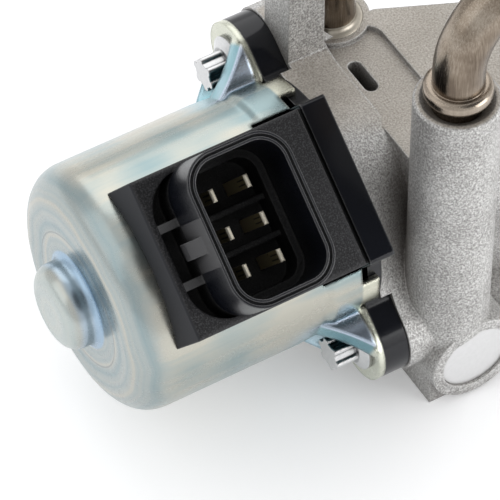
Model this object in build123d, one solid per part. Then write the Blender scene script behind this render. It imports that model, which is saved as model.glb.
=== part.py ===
"""Water-cooled exhaust gas recirculation valve, driven by a stepper motor.

Frame: origin at the centre of the gas outlet in the base face, +X away from the motor along the valve stem,
-Y towards the connector's side, +Z up. Lengths are millimetres. The motor is drawn about its own axis with
u towards the connector, v towards the lower bolt and the station a counted from the seat of the bolts.
"""
from build123d import *
import os
from math import cos, radians, sin, sqrt

# Place of the motor
AXIS_H = 32.0             # motor and stem axis above the base face
EAR_X = -50.0             # seat of the two flange bolts along X
TILT = 37.0               # lean of the connector from straight up towards the front
BOLT_REACH = 3.1          # each flange bolt outside the can's mouth

# Motor can, deep drawn
CAN_R = 23.0
CAN_WALL = 1.2
CAN_LENGTH = 43.7         # bolt seat to the flat end
CAN_CORNER = 6.5
DOME_R = 8.0
DOME_H = 5.6
DOME_EDGE = 3.2
DOME_FOOT = 1.4
MOUTH_R = 23.7            # the can is widened at its open end
MOUTH_LENGTH = 6.0
MOUTH_RAMP = 1.3          # slope from the wall to the widened mouth
MOUTH_EASE = 1.5
MOUTH_EDGE = 0.6          # rim of the mouth below the bolt seat, between ears and tabs
EAR_R = 7.6
FLARE_FROM = -8.0         # the wall swells towards each ear from here
FLARE_SWELL = 7.3         # how far it stands past the mouth at the ear
FLARE_R = 10.0            # reach of that swelling round a bolt
TAB_LENGTH = 1.6          # clinch tabs past the ears
TAB_FROM = 27.5           # tab edges, degrees round from the bolt line
TAB_TO = 41.0
POCKET_CLEAR = 0.6        # room round a bolt head
POCKET_RISE = 1.0         # straight side of the dent past the bolt head

# Flange bolts
BOLT_R = 2.5
BOLT_FLANGE_R = 5.2
BOLT_FLANGE_H = 1.7
BOLT_RIM = 0.7            # upright edge of the bolt's flange
BOLT_HEAD_H = 6.0
LOBE_CORE_R = 2.5
LOBE_R = 0.75
LOBE_COUNT = 6
LOBE_SHOULDER = 0.25      # flat of the bolt's flange round the lobes
BOLT_LENGTH = 11.4
BOLT_HOLE_R = 2.75
THREAD_GAP = 0.06

# Connector moulding
PLATE_T = 2.8             # moulding between the can's ears and the casting
EAR_SINK = 2.2            # moulded ears stand further into the casting
EAR_STEP = 5.4            # those ears begin this far from the bolt, towards the motor axis
PLATE_GAP = 0.08          # moulding to the can's clinch tabs
BAR_U = 24.0
BAR_V = 15.0
BAR_BACK = 0.8            # bar behind the bolt seat
WAIST_R = 2.0
BLOCK_V = 14.4
BLOCK_U = 31.0
BLOCK_FROM = -36.8
BLOCK_TO = -4.0
BLOCK_EDGE = 0.7
SADDLE_GAP = 0.1
WINDOW_LENGTH = 8.0       # opening of the can under the block
SHROUD_MID = -22.0
SHROUD_A = 19.6
SHROUD_V = 27.9
SHROUD_CORNER = 6.0
SHROUD_U = 42.0
SHROUD_WALL = 1.5
LIP_GROOVE = 0.5
SOCKET_FLOOR = 24.8
LEDGE_U = 30.5            # step inside the socket
LEDGE_W = 1.3
ROW_RIB_T = 1.0
ROW_RIB_H = 3.6
LATCH_V = 5.2
LATCH_RIB_T = 1.5
LATCH_DEPTH = 5.0
LATCH_RIM = 1.4           # edge of the block left beside the recess
LATCH_HALF_V = 13.2
LATCH_CORNER = 7.0
LATCH_TOOTH_V = 3.0
LATCH_TOOTH_A = 1.4
LATCH_TOOTH_U = 8.0
LATCH_TOOTH_FLAT = 2.7
SPIGOT_R = 19.4           # part of the moulding inside the can
SPIGOT_LENGTH = 10.5
SPIGOT_GAP = 0.3          # spigot to the can's dents round the bolts
PILOT_R = 15.0
PILOT_LENGTH = 2.0

# Terminals
PIN_MID = -22.6
PIN_COLUMN = 6.6
PIN_ROW = 6.8
PIN_W = 2.3
PIN_T = 0.8
PIN_TIP_U = 36.0
PIN_ROOT = 0.9            # depth of a blade's foot in the socket floor
PIN_TAPER = 0.24

# Stator
STATOR_FIT = 0.3          # stator to the can's wall
STATOR_LENGTH = 12.1
STATOR_GAP = 0.3
YOKE_T = 1.2
POLE_R = 10.7
POLE_T = 1.2
POLE_COUNT = 6
POLE_W = 3.4
POLE_LENGTH = 9.5
BOBBIN_BORE = 12.1
BOBBIN_T = 0.9
BOBBIN_R = 20.0
COIL_R = 19.4
COIL_GAP = 0.1

# Rotor and its bearings
AIR_GAP = 0.4
MAGNET_T = 3.2
MAGNET_FROM = -36.5
MAGNET_TO = -13.5
SLEEVE_GAP = 0.05
REAR_JOURNAL_R = 3.5
REAR_BUSH_LENGTH = 4.0
FRONT_JOURNAL_R = 5.0
BEARING_R = 9.5
BEARING_FROM = -9.5
BEARING_W = 5.0
BALL_R = 1.05
BALL_GAP = 0.05
BALL_COUNT = 7
RACE_GAP = 1.4            # between the shoulders of the two races
SHOULDER_T = 1.0          # step of the sleeve against the inner race
RUN_GAP = 0.05            # running clearance of shafts
SCREW_R = 2.5
SCREW_TO = 10.0           # tip of the closed valve's screw
GUIDE_R = 6.0
GUIDE_FROM = -2.6
FLAT_DEPTH = 0.7
SCREW_TAPER = 0.4

# Valve
TRAVEL = 5.0
TIP_GAP = 0.1
STEM_R = 2.5
SPRING_FROM = 13.6
SPRING_R = 7.6
WIRE_R = 0.8
SPRING_TURNS = 4.0
CHAMBER_TO = 28.0
SPRING_ROOM = 12.0
CUP_T = 1.4
CUP_RIM = 0.6
WIRE_GAP = 0.02           # room of the end coils on their seats
CLIP_T = 1.0
CLIP_R = 4.2
CLIP_DEPTH = 0.5
SEAL_LENGTH = 3.0
BUSH_R = 6.0
BUSH_LENGTH = 11.0
OUTLET_FROM = 38.4
OUTLET_ROOM = 13.5
OUTLET_R = 11.0
SEAT_FROM = 62.2
SEAT_TO = 67.0
SEAT_BORE = 10.0
SEAT_R = 14.0
DISC_R = 12.0
DISC_T = 3.0
DISC_EDGE = 1.8
NECK_R = 5.0
INLET_R = 15.5
SEAL_RING_R = 16.0
SEAL_RING_W = 2.2
SEAL_RING_DEPTH = 1.7
SEAL_RING_GAP = 0.1

# Casting
FLANGE_T = 10.2
FLANGE_CORE_R = 22.6
HUMP_FRONT_U = 23.4       # flange under the connector's bar, at its front and at its back edge
HUMP_BACK_U = 20.3
SHOULDER_V = 12.5         # where the hump runs out towards the ears
SHOULDER_FRONT_U = 18.6
SHOULDER_UPPER_U = 14.7    # the same at the back edge, on the upper and on the lower side
SHOULDER_LOWER_U = 12.7
CAST_EAR_R = 8.0
CAST_EAR_T = 13.2
BODY_R = 18.9
END_X = 30.0
FOOT_X = -39.4
FOOT_INSET = 0.1          # face of the foot behind the round of the ear
BASE_TO = 26.0
BASE_T = 9.0
BASE_CORNER = 7.0
LEG_Y = 15.0
ROOF_Z = 51.0
RIDGE_Z = 52.0
RIDGE_X = -25.5
RIDGE_Y = 14.2
ROOF_LAP = 1.0            # roof's hold in the flange
ROOF_FRONT = 18.0
ROOF_BACK = 16.6
ROOF_TO = -6.0
ROOF_TAPER = 8.2
CAST_EDGE = 1.6
VENT_X = -33.5
VENT_Y = 4.6
VENT_W = 2.6
VENT_L = 7.8
LUG_Y = 20.8
LUG_W = 8.0
LUG_TOP = 80.0
LUG_HOLE_R = 2.5
INLET_FLANGE_T = 8.0
INLET_BOLT_Y = 26.0
INLET_EAR_R = 8.0
PORT_HOLE_R = 4.25
OUTLET_BOLT_Y = 22.0

# Coolant circuit
PIPE_R = 4.5
PIPE_BORE = 3.5
BEAD_R = 6.0
BEAD_H = 3.0
BEAD_EDGE = 1.2
BEAD_LIFT = 0.8           # collar above the boss
PIPE_SINK = 6.0
PIPE_ROOM = 0.8           # casting to the rear pipe
FRONT_BOSS_X = -33.3
FRONT_BOSS_Y = -24.2
FRONT_BOSS_R = 7.6
FRONT_BOSS_Z = 72.6
FRONT_BOSS_FOOT = 14.0
BOSS_EDGE = 0.7
BOSS_DISH_R = 6.5         # countersunk mouth of the boss
BOSS_DISH_H = 1.6
ELBOW_RISE = 6.9
ELBOW_BEND = 16.0
ELBOW_RUN = 24.0
REAR_BOSS_X = -31.2
REAR_BOSS_Y = 19.2
REAR_BOSS_R = 7.0
REAR_BOSS_Z = 52.0
REAR_PIPE_TOP = 93.0
HOSE_BEAD = 7.0           # hose bead from a pipe's end
HOSE_BEAD_R = 5.2
PLUG_X = -31.2
PLUG_Z = 9.8
PLUG_Y = -31.4
PLUG_R = 6.9
PLUG_T = 2.4
PLUG_SINK = 0.5
PLUG_BOSS_R = 9.0
JACKET_R = 5.4

# Stations that follow from the sizes above
BALL_PITCH_R = (FRONT_JOURNAL_R + BEARING_R) / 2
BOLT_V = MOUTH_R + BOLT_REACH
EAR_STEP_V = BOLT_V - EAR_STEP
FLARE_TOP_R = MOUTH_R + FLARE_SWELL
LOWER_EAR_Y = BOLT_V * cos(radians(TILT))
LOWER_EAR_Z = AXIS_H - BOLT_V * sin(radians(TILT))
FOOT_Y = LOWER_EAR_Y + CAST_EAR_R - FOOT_INSET
EAR_T = CAN_WALL
MATE = EAR_T + PLATE_T    # face of the casting that carries the motor
EAR_SEAT = MATE + EAR_SINK
CAN_END = -CAN_LENGTH
POCKET_R = BOLT_FLANGE_R + POCKET_CLEAR
MAGNET_R = POLE_R - AIR_GAP
SLEEVE_R = MAGNET_R - MAGNET_T
STATOR_R = CAN_R - CAN_WALL - STATOR_FIT
STATOR_FROM = CAN_END + CAN_CORNER
STEM_FROM = SCREW_TO + TIP_GAP
MOTOR = Plane(
    origin=(EAR_X, 0, AXIS_H),
    x_dir=(0, -sin(radians(TILT)), cos(radians(TILT))),
    z_dir=(1, 0, 0),
).location
LOW = (Align.CENTER, Align.CENTER, Align.MIN)


def rod(radius, start, end):
    """Round bar about the motor axis between two stations."""
    return Pos(0, 0, start) * Cylinder(radius, end - start, align=LOW)


def ring(outer, inner, start, end):
    """Round ring about the motor axis between two stations."""
    return rod(outer, start, end) - rod(inner, start, end)


def post(radius, x, y, low, high):
    """Upright round bar in the valve's frame."""
    return Pos(x, y, low) * Cylinder(radius, high - low, align=LOW)


def block(x_span, y_span, z_span):
    """Box between three pairs of coordinates."""
    spans = (x_span, y_span, z_span)
    size = [high - low for low, high in spans]
    middle = [(high + low) / 2 for low, high in spans]
    return Pos(*middle) * Box(*size)


def round_corner(outline, x, y, radius):
    """Round the corner of a flat outline that lies nearest to a point."""
    corner = outline.vertices().sort_by_distance((x, y, 0))[0]
    return fillet(corner, radius)


def turned(points, rounds=()):
    """Solid turned about the motor axis from (radius, station) points, with some corners rounded."""
    outline = make_face(Polyline(*points, close=True))
    for radius, station, edge in rounds:
        outline = round_corner(outline, radius, station, edge)
    return revolve(Plane.XZ * outline, axis=Axis.Z)


def plate_outline(core_r, ear_r, bar_u, bar_v, waist):
    """Flange outline: a disc, two bolt ears and the straight bar under the connector, with eased waists."""
    outline = Circle(core_r)
    for side in (-1, 1):
        ear = Pos(0, side * BOLT_V) * Circle(ear_r)
        arm = Pos(0, side * BOLT_V / 2) * Rectangle(2 * ear_r, BOLT_V)
        outline += ear + arm
    outline += Pos(bar_u / 2, 0) * Rectangle(bar_u, 2 * bar_v)
    return offset(offset(outline, waist), -waist)


def at_bolts(shape):
    """Copies of a shape at the two flange bolts."""
    return [Pos(0, side * BOLT_V, 0) * shape for side in (-1, 1)]


def ear_room(side, gap):
    """Space past the step between the flange's middle and one of its ears, as deep as the moulded ear."""
    reach = BOLT_V + 2 * CAST_EAR_R
    v_span = sorted((side * (EAR_STEP_V + gap), side * reach))
    return block((-reach, reach), v_span, (EAR_T, EAR_SEAT))


def can_skin(inset):
    """Turned form of the can, drawn in by inset: dome, flat end, wall and widened mouth."""
    dome = CAN_END - DOME_H + inset
    end = CAN_END + inset
    step = -MOUTH_LENGTH
    ramp = step - MOUTH_RAMP
    dome_r = DOME_R - inset
    wall_r = CAN_R - inset
    mouth_r = MOUTH_R - inset
    points = [(0, dome), (dome_r, dome), (dome_r, end), (wall_r, end), (wall_r, ramp)]
    points += [(mouth_r, step), (mouth_r, EAR_T), (0, EAR_T)]
    rounds = [(dome_r, dome, DOME_EDGE - inset), (dome_r, end, DOME_FOOT + inset)]
    rounds += [(wall_r, end, CAN_CORNER - inset)]
    rounds += [(wall_r, ramp, MOUTH_EASE), (mouth_r, step, MOUTH_EASE)]
    return turned(points, rounds)


def ear_flares(inset):
    """Swelling of the wall towards each bolt ear: a cone round the motor axis, kept only near the bolts."""
    base_r = CAN_R - inset
    top_r = FLARE_TOP_R - inset
    cone = turned([(0, FLARE_FROM), (base_r, FLARE_FROM), (top_r, 0), (0, 0)])
    return [cone & near for near in at_bolts(rod(FLARE_R - inset, FLARE_FROM, 0))]


def bolt_pocket(grow):
    """Dent for a bolt head: a round bar with a ball end, made larger by grow for its inner face."""
    radius = POCKET_R + grow
    end = -BOLT_HEAD_H - POCKET_RISE
    return rod(radius, end, grow) + Pos(0, 0, end) * Sphere(radius)


def tab_sector(side, half):
    """Wedge that keeps one clinch tab: side picks the bolt, half the side towards the connector or away."""
    reach = 2 * MOUTH_R
    points = [(0, 0)]
    for angle in (TAB_FROM, TAB_TO):
        points.append((half * reach * sin(radians(angle)), side * reach * cos(radians(angle))))
    wedge = extrude(make_face(Polyline(*points, close=True)), MOUTH_EDGE + EAR_T + TAB_LENGTH)
    return Pos(0, 0, -MOUTH_EDGE) * wedge


def mouth_gaps():
    """What is trimmed from the can's mouth between its ears and tabs."""
    reach = BOLT_V + FLARE_R
    gaps = rod(reach, -MOUTH_EDGE, EAR_T + TAB_LENGTH)
    gaps -= block((-EAR_R, EAR_R), (-reach, reach), (-MOUTH_EDGE, EAR_T))
    for side in (-1, 1):
        for half in (-1, 1):
            gaps -= tab_sector(side, half)
    return gaps


def motor_can():
    """Deep-drawn can with swollen, dented bolt seats, two ears and four clinch tabs."""
    ears = extrude(plate_outline(MOUTH_R, EAR_R, MOUTH_R / 2, EAR_R, WAIST_R), EAR_T)
    hollow = can_skin(CAN_WALL) + ear_flares(CAN_WALL) - at_bolts(bolt_pocket(CAN_WALL))
    tabs = ring(MOUTH_R, MOUTH_R - CAN_WALL, EAR_T, EAR_T + TAB_LENGTH)
    can = can_skin(0) + ear_flares(0) + ears - at_bolts(bolt_pocket(0)) - hollow + tabs - mouth_gaps()
    window = block((0, BAR_U + CAN_R), (-BAR_V - SADDLE_GAP, BAR_V + SADDLE_GAP), (-WINDOW_LENGTH, MATE))
    can -= window
    can -= at_bolts(rod(BOLT_HOLE_R, -EAR_T, MATE))
    return can


def shroud_outline(inset):
    """Rounded rectangle of the connector shroud, seen along u, drawn in by inset."""
    return RectangleRounded(SHROUD_V - 2 * inset, SHROUD_A - 2 * inset, SHROUD_CORNER - inset)


def along_u(outline, middle, low, high):
    """Extrude an outline drawn in (v, a) from one height above the motor axis to another."""
    facing = Plane(origin=(low, 0, middle), x_dir=(0, 1, 0), z_dir=(1, 0, 0))
    return extrude(facing * outline, high - low)


def connector_shroud():
    """Rounded shroud with a double lip."""
    shroud = along_u(shroud_outline(0), SHROUD_MID, BLOCK_U - 1, SHROUD_U)
    groove = shroud_outline(LIP_GROOVE) - shroud_outline(2 * LIP_GROOVE)
    return shroud - along_u(groove, SHROUD_MID, SHROUD_U - LIP_GROOVE, SHROUD_U)


def connector_block():
    """Block that saddles on the can and runs down through its window to the plate."""
    body = block((0, BLOCK_U), (-BLOCK_V, BLOCK_V), (BLOCK_FROM, BLOCK_TO))
    face_edges = body.edges().filter_by_position(Axis.X, BLOCK_U - 0.1, BLOCK_U + 0.1)
    body = fillet(face_edges, BLOCK_EDGE)
    neck = block((0, BAR_U - 1), (-BLOCK_V, BLOCK_V), (BLOCK_TO, EAR_T))
    saddle = rod(CAN_R + SADDLE_GAP, CAN_END - DOME_H, -WINDOW_LENGTH + SADDLE_GAP)
    return body + neck - saddle - rod(SPIGOT_R - 1, -SPIGOT_LENGTH, EAR_T)


def latch_pocket():
    """Recess beside the shroud for the mating plug's latch, less its two ribs."""
    start = BLOCK_FROM + LATCH_RIM
    low = BLOCK_U - LATCH_DEPTH
    outline = RectangleRounded(2 * LATCH_HALF_V, 2 * (SHROUD_MID - start), LATCH_CORNER) - shroud_outline(0)
    pocket = along_u(outline, SHROUD_MID, low, BLOCK_U)
    pocket &= block((low, BLOCK_U), (-LATCH_HALF_V, LATCH_HALF_V), (start, SHROUD_MID))
    for side in (-1, 1):
        rib = (side * LATCH_V - LATCH_RIB_T / 2, side * LATCH_V + LATCH_RIB_T / 2)
        pocket -= block((low, BLOCK_U), rib, (start, SHROUD_MID))
    return pocket


def latch_tooth():
    """Ramped tooth on the shroud that the mating plug's latch snaps over."""
    wall = SHROUD_MID - SHROUD_A / 2
    low = BLOCK_U
    flat = low + LATCH_TOOTH_FLAT
    front = wall - LATCH_TOOTH_A
    points = [(low, wall), (low, front), (flat, front), (low + LATCH_TOOTH_U, wall)]
    face = make_face(Plane.XZ * Polyline(*points, close=True))
    return Pos(0, LATCH_TOOTH_V / 2, 0) * extrude(face, LATCH_TOOTH_V)


def pin_places():
    """Middle of each terminal as (v, a)."""
    columns = (PIN_MID - PIN_COLUMN / 2, PIN_MID + PIN_COLUMN / 2)
    return [(row * PIN_ROW, column) for column in columns for row in (-1, 0, 1)]


def pin_blade(v, a, low):
    """Flat blade with a tapered tip."""
    blade = block((low, PIN_TIP_U), (v - PIN_W / 2, v + PIN_W / 2), (a - PIN_T / 2, a + PIN_T / 2))
    tip = blade.edges().filter_by_position(Axis.X, PIN_TIP_U - 0.01, PIN_TIP_U + 0.01)
    return chamfer(tip, PIN_TAPER)


def connector_body():
    """One black moulding: motor end plate, bar, connector block, shroud and socket."""
    plate = plate_outline(MOUTH_R - CAN_WALL - PLATE_GAP, EAR_R, BAR_U - BLOCK_EDGE, BAR_V, WAIST_R)
    body = Pos(0, 0, EAR_T) * extrude(plate, PLATE_T)
    for side in (-1, 1):
        body += Pos(0, 0, EAR_T) * extrude(plate, EAR_SEAT - EAR_T) & ear_room(side, PLATE_GAP)
    bar = block((0, BAR_U), (-BAR_V, BAR_V), (-BAR_BACK, MATE))
    bar_edges = bar.edges().filter_by(Axis.Z).sort_by(Axis.X)[2:]
    body += fillet(bar_edges, BLOCK_EDGE) - rod(SPIGOT_R - 1, -BAR_BACK, EAR_T)
    body += connector_block() + connector_shroud() + latch_tooth()
    body -= latch_pocket()
    socket = along_u(shroud_outline(SHROUD_WALL), SHROUD_MID, LEDGE_U, SHROUD_U)
    socket += along_u(shroud_outline(SHROUD_WALL + LEDGE_W), SHROUD_MID, SOCKET_FLOOR, LEDGE_U)
    for side in (-1, 1):
        middle = side * PIN_ROW / 2
        rib_v = (middle - ROW_RIB_T / 2, middle + ROW_RIB_T / 2)
        socket -= block((SOCKET_FLOOR, SOCKET_FLOOR + ROW_RIB_H), rib_v, (BLOCK_FROM, BLOCK_TO))
    body -= socket
    spigot = rod(SPIGOT_R, -SPIGOT_LENGTH, EAR_T) - at_bolts(bolt_pocket(CAN_WALL + SPIGOT_GAP))
    body += spigot + rod(PILOT_R, MATE, MATE + PILOT_LENGTH)
    body -= rod(BEARING_R + RUN_GAP, -SPIGOT_LENGTH, BEARING_FROM + BEARING_W)
    body -= rod(GUIDE_R, BEARING_FROM, MATE + PILOT_LENGTH)
    body -= at_bolts(rod(BOLT_HOLE_R, -EAR_T, EAR_SEAT))
    for v, a in pin_places():
        body -= pin_blade(v, a, SOCKET_FLOOR - PIN_ROOT)
    return body


def terminal_pins():
    """Six flat terminals, moulded into the socket floor."""
    return Compound(children=[pin_blade(v, a, SOCKET_FLOOR - PIN_ROOT) for v, a in pin_places()])


def flange_bolt():
    """Six-lobe flange bolt, its seat at station zero."""
    lobes = Circle(LOBE_CORE_R)
    for lobe in PolarLocations(LOBE_CORE_R, LOBE_COUNT):
        lobes += lobe * Circle(LOBE_R)
    head = Pos(0, 0, -BOLT_HEAD_H) * extrude(lobes, BOLT_HEAD_H)
    shoulder = LOBE_CORE_R + LOBE_R + LOBE_SHOULDER
    washer = turned([(0, -BOLT_FLANGE_H), (shoulder, -BOLT_FLANGE_H), (BOLT_FLANGE_R, -BOLT_RIM),
                     (BOLT_FLANGE_R, 0), (0, 0)])
    return head + washer + rod(BOLT_R, 0, BOLT_LENGTH)


def flange_bolts():
    """The two bolts that hold the motor to the casting."""
    return Compound(children=at_bolts(flange_bolt()))


def pole_claws(root, reach, turn):
    """Claws that bend from a pole plate along the rotor, spaced round it."""
    low, high = sorted((root, root + reach))
    claw = block((POLE_R, POLE_R + 2 * POLE_T), (-POLE_W / 2, POLE_W / 2), (low, high))
    claw &= ring(POLE_R + POLE_T, POLE_R, low, high)
    step = 360 / POLE_COUNT
    return [Rot(0, 0, turn + step * i) * claw for i in range(POLE_COUNT)]


def stator_cup(start, turn):
    """Cup with its outer wall, end plate and claws."""
    end = start + STATOR_LENGTH - YOKE_T
    cup = ring(STATOR_R, STATOR_R - YOKE_T, start, end)
    cup += ring(STATOR_R, POLE_R, start, start + YOKE_T)
    return cup + pole_claws(start, POLE_LENGTH, turn)


def pole_plate(start, turn):
    """Plate with claws that closes a cup."""
    end = start + STATOR_LENGTH
    plate = ring(STATOR_R, POLE_R, end - YOKE_T, end)
    return plate + pole_claws(end, -POLE_LENGTH, turn + 180 / POLE_COUNT)


def bobbin(start):
    """Coil former: a tube with two cheeks."""
    low = start + YOKE_T
    high = start + STATOR_LENGTH - YOKE_T
    former = ring(BOBBIN_BORE + BOBBIN_T, BOBBIN_BORE, low, high)
    former += ring(BOBBIN_R, BOBBIN_BORE, low, low + BOBBIN_T)
    return former + ring(BOBBIN_R, BOBBIN_BORE, high - BOBBIN_T, high)


def winding(start):
    """Wound copper between a former's cheeks."""
    low = start + YOKE_T + BOBBIN_T
    high = start + STATOR_LENGTH - YOKE_T - BOBBIN_T
    return ring(COIL_R, BOBBIN_BORE + BOBBIN_T + COIL_GAP, low, high)


def rotor_magnet():
    """Ring magnet on the sleeve."""
    return ring(MAGNET_R, SLEEVE_R + SLEEVE_GAP, MAGNET_FROM, MAGNET_TO)


def rotor_sleeve():
    """Nut that carries the magnet, with a journal at each end."""
    rear = CAN_END - DOME_H / 2
    front = BEARING_FROM + BEARING_W
    sleeve = rod(SLEEVE_R, MAGNET_FROM, MAGNET_TO) + rod(REAR_JOURNAL_R, rear, MAGNET_FROM)
    sleeve += rod(FRONT_JOURNAL_R + SHOULDER_T, MAGNET_TO, BEARING_FROM)
    sleeve += rod(FRONT_JOURNAL_R, BEARING_FROM, front)
    return sleeve - rod(SCREW_R + RUN_GAP, rear, front)


def rear_bush():
    """Plain bush in the can's dome."""
    start = CAN_END - DOME_H + DOME_EDGE
    return ring(DOME_R - CAN_WALL - SLEEVE_GAP, REAR_JOURNAL_R + RUN_GAP, start, start + REAR_BUSH_LENGTH)


def ball_track():
    """Ring of the balls' path, with their clearance."""
    middle = BEARING_FROM + BEARING_W / 2
    return Pos(0, 0, middle) * Torus(BALL_PITCH_R, BALL_R + BALL_GAP)


def bearing_outer():
    """Outer race, pressed into the moulding."""
    inner = BALL_PITCH_R + RACE_GAP / 2
    return ring(BEARING_R, inner, BEARING_FROM, BEARING_FROM + BEARING_W) - ball_track()


def bearing_inner():
    """Inner race on the sleeve's front journal."""
    outer = BALL_PITCH_R - RACE_GAP / 2
    return ring(outer, FRONT_JOURNAL_R + SLEEVE_GAP / 2, BEARING_FROM, BEARING_FROM + BEARING_W) - ball_track()


def bearing_balls():
    """Balls between the races."""
    middle = BEARING_FROM + BEARING_W / 2
    return Compound(children=[Pos(0, 0, middle) * spot * Sphere(BALL_R)
                              for spot in PolarLocations(BALL_PITCH_R, BALL_COUNT)])


def flatted(radius, start, end):
    """Round bar with a flat along one side."""
    bar = rod(radius, start, end)
    return bar - block((radius - FLAT_DEPTH, radius + 1), (-radius, radius), (start, end))


def lead_screw():
    """Screw that the nut drives out, flatted at the front so that it can't turn."""
    flat = GUIDE_FROM - TRAVEL - TIP_GAP
    screw = rod(SCREW_R, CAN_END, flat) + flatted(SCREW_R, flat, SCREW_TO)
    tip = screw.edges().filter_by_position(Axis.Z, SCREW_TO - 0.01, SCREW_TO + 0.01)
    return chamfer(tip, SCREW_TAPER)


def screw_guide():
    """Bush in the moulding with a flatted bore."""
    end = MATE + PILOT_LENGTH
    return rod(GUIDE_R - RUN_GAP, GUIDE_FROM, end) - flatted(SCREW_R + RUN_GAP, GUIDE_FROM, end)


def motor_seal():
    """Square-section ring in the casting's groove round the pilot."""
    depth = SEAL_RING_DEPTH - SEAL_RING_GAP
    outer = SEAL_RING_R + SEAL_RING_W - SEAL_RING_GAP
    return ring(outer, SEAL_RING_R + SEAL_RING_GAP, MATE, MATE + depth)


def clip_start():
    """Station of the stem clip, against the spring cup."""
    return SPRING_FROM - CUP_T - CLIP_T


def valve_poppet():
    """Turned stem and disc, with the clip's groove."""
    points = [(0, STEM_FROM), (STEM_R, STEM_FROM), (STEM_R, SEAT_FROM), (NECK_R, SEAT_TO), (DISC_R, SEAT_TO)]
    points += [(DISC_R, SEAT_TO + DISC_EDGE), (DISC_R - DISC_T, SEAT_TO + DISC_T), (0, SEAT_TO + DISC_T)]
    stem = turned(points)
    return stem - ring(STEM_R + 1, STEM_R - CLIP_DEPTH, clip_start(), clip_start() + CLIP_T)


def stem_clip():
    """Open ring that snaps into the stem's groove."""
    clip = ring(CLIP_R, STEM_R - CLIP_DEPTH, clip_start(), clip_start() + CLIP_T)
    gap = STEM_R - CLIP_DEPTH
    return clip - block((0, CLIP_R + 1), (-gap, gap), (clip_start(), clip_start() + CLIP_T))


def spring_cup():
    """Cup that rests on the clip and takes the spring's end."""
    low = SPRING_FROM - CUP_T
    rim = SPRING_R - 2 * WIRE_R
    cup = ring(SPRING_R + WIRE_R + CUP_RIM, STEM_R + RUN_GAP, low, SPRING_FROM)
    return cup + ring(rim, STEM_R + RUN_GAP, low, SPRING_FROM + 2 * WIRE_R)


def valve_spring():
    """Round-wire spring between the cup and the end of its chamber."""
    start = SPRING_FROM + WIRE_R
    height = CHAMBER_TO - WIRE_R - start
    path = Pos(0, 0, start) * Helix(pitch=height / SPRING_TURNS, height=height, radius=SPRING_R)
    section = Plane(origin=path @ 0, z_dir=path % 0) * Circle(WIRE_R - WIRE_GAP)
    return sweep(section, path=path)


def stem_seal():
    """Lip ring ahead of the bush."""
    return ring(BUSH_R, STEM_R + RUN_GAP, CHAMBER_TO, CHAMBER_TO + SEAL_LENGTH)


def stem_bush():
    """Sintered bush that guides the stem."""
    low = CHAMBER_TO + SEAL_LENGTH
    return ring(BUSH_R, STEM_R + RUN_GAP, low, low + BUSH_LENGTH)


def valve_seat():
    """Hard ring that the poppet closes on."""
    points = [(SEAT_BORE, SEAT_FROM), (SEAT_R, SEAT_FROM), (SEAT_R, SEAT_TO), (SEAT_BORE, SEAT_TO)]
    return turned(points)


def flange_section(peak, upper, lower):
    """Flange outline: two bolt ears, a hump between two shoulders and a round belly on the other side."""
    ear = CAST_EAR_R
    belly = sqrt(FLANGE_CORE_R ** 2 - SHOULDER_V ** 2)
    hump = [(ear, -BOLT_V), (upper, -SHOULDER_V), (peak, 0), (lower, SHOULDER_V), (ear, BOLT_V)]
    round_side = [(-ear, BOLT_V), (-belly, SHOULDER_V), (-FLANGE_CORE_R, 0)]
    round_side += [(-belly, -SHOULDER_V), (-ear, -BOLT_V)]
    outline = [
        Spline(*hump, tangents=[(0, 1), (0, 1)]),
        ThreePointArc((ear, BOLT_V), (0, BOLT_V + ear), (-ear, BOLT_V)),
        Spline(*round_side, tangents=[(0, -1), (0, -1)]),
        ThreePointArc((-ear, -BOLT_V), (0, -BOLT_V - ear), (ear, -BOLT_V)),
    ]
    return make_face(outline)


def motor_flange():
    """Casting's flange in the motor's frame, drawn in towards its back, with two thick, set-back ears."""
    front = flange_section(HUMP_FRONT_U, SHOULDER_FRONT_U, SHOULDER_FRONT_U)
    back = flange_section(HUMP_BACK_U, SHOULDER_UPPER_U, SHOULDER_LOWER_U)
    flange = loft([Pos(0, 0, MATE) * front, Pos(0, 0, MATE + FLANGE_T) * back], ruled=True)
    for side in (-1, 1):
        flange -= ear_room(side, 0)
    for ear in at_bolts(rod(CAST_EAR_R, EAR_SEAT, MATE + CAST_EAR_T)):
        flange += ear
    return flange


def inlet_flange():
    """Two-bolt flange at the gas inlet."""
    ears = [Pos(side * INLET_BOLT_Y, 0) * Circle(INLET_EAR_R) for side in (-1, 1)]
    shapes = [Circle(BODY_R)] + ears
    outline = make_hull([edge for shape in shapes for edge in shape.edges()])
    facing = Plane(origin=(END_X, 0, AXIS_H), x_dir=(0, 1, 0), z_dir=(-1, 0, 0))
    return extrude(facing * outline, INLET_FLANGE_T)


def base_plate():
    """Foot of the casting, with rounded corners behind the motor flange."""
    outline = Pos((FOOT_X + BASE_TO) / 2, 0) * Rectangle(BASE_TO - FOOT_X, 2 * FOOT_Y)
    outline = fillet(outline.vertices().sort_by(Axis.X)[2:], BASE_CORNER)
    return extrude(outline, BASE_T)


def roof():
    """Flat-topped crown over the spring chamber: a ridge with a lower step beside the motor flange."""
    start = EAR_X + MATE + FLANGE_T - ROOF_LAP
    points = [(start, -ROOF_FRONT), (ROOF_TO, -ROOF_FRONT), (ROOF_TO, ROOF_BACK - ROOF_TAPER)]
    points += [(RIDGE_X + CAST_EDGE, ROOF_BACK), (start, ROOF_BACK)]
    crown = Pos(0, 0, AXIS_H) * extrude(make_face(Polyline(*points, close=True)), RIDGE_Z - AXIS_H)
    step = block((start, RIDGE_X), (-ROOF_FRONT, RIDGE_Y), (ROOF_Z, RIDGE_Z))
    corner = step.edges().filter_by(Axis.Z).sort_by(Axis.X)[2:].sort_by(Axis.Y)[-1]
    return crown - fillet(corner, 2 * CAST_EDGE)


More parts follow.
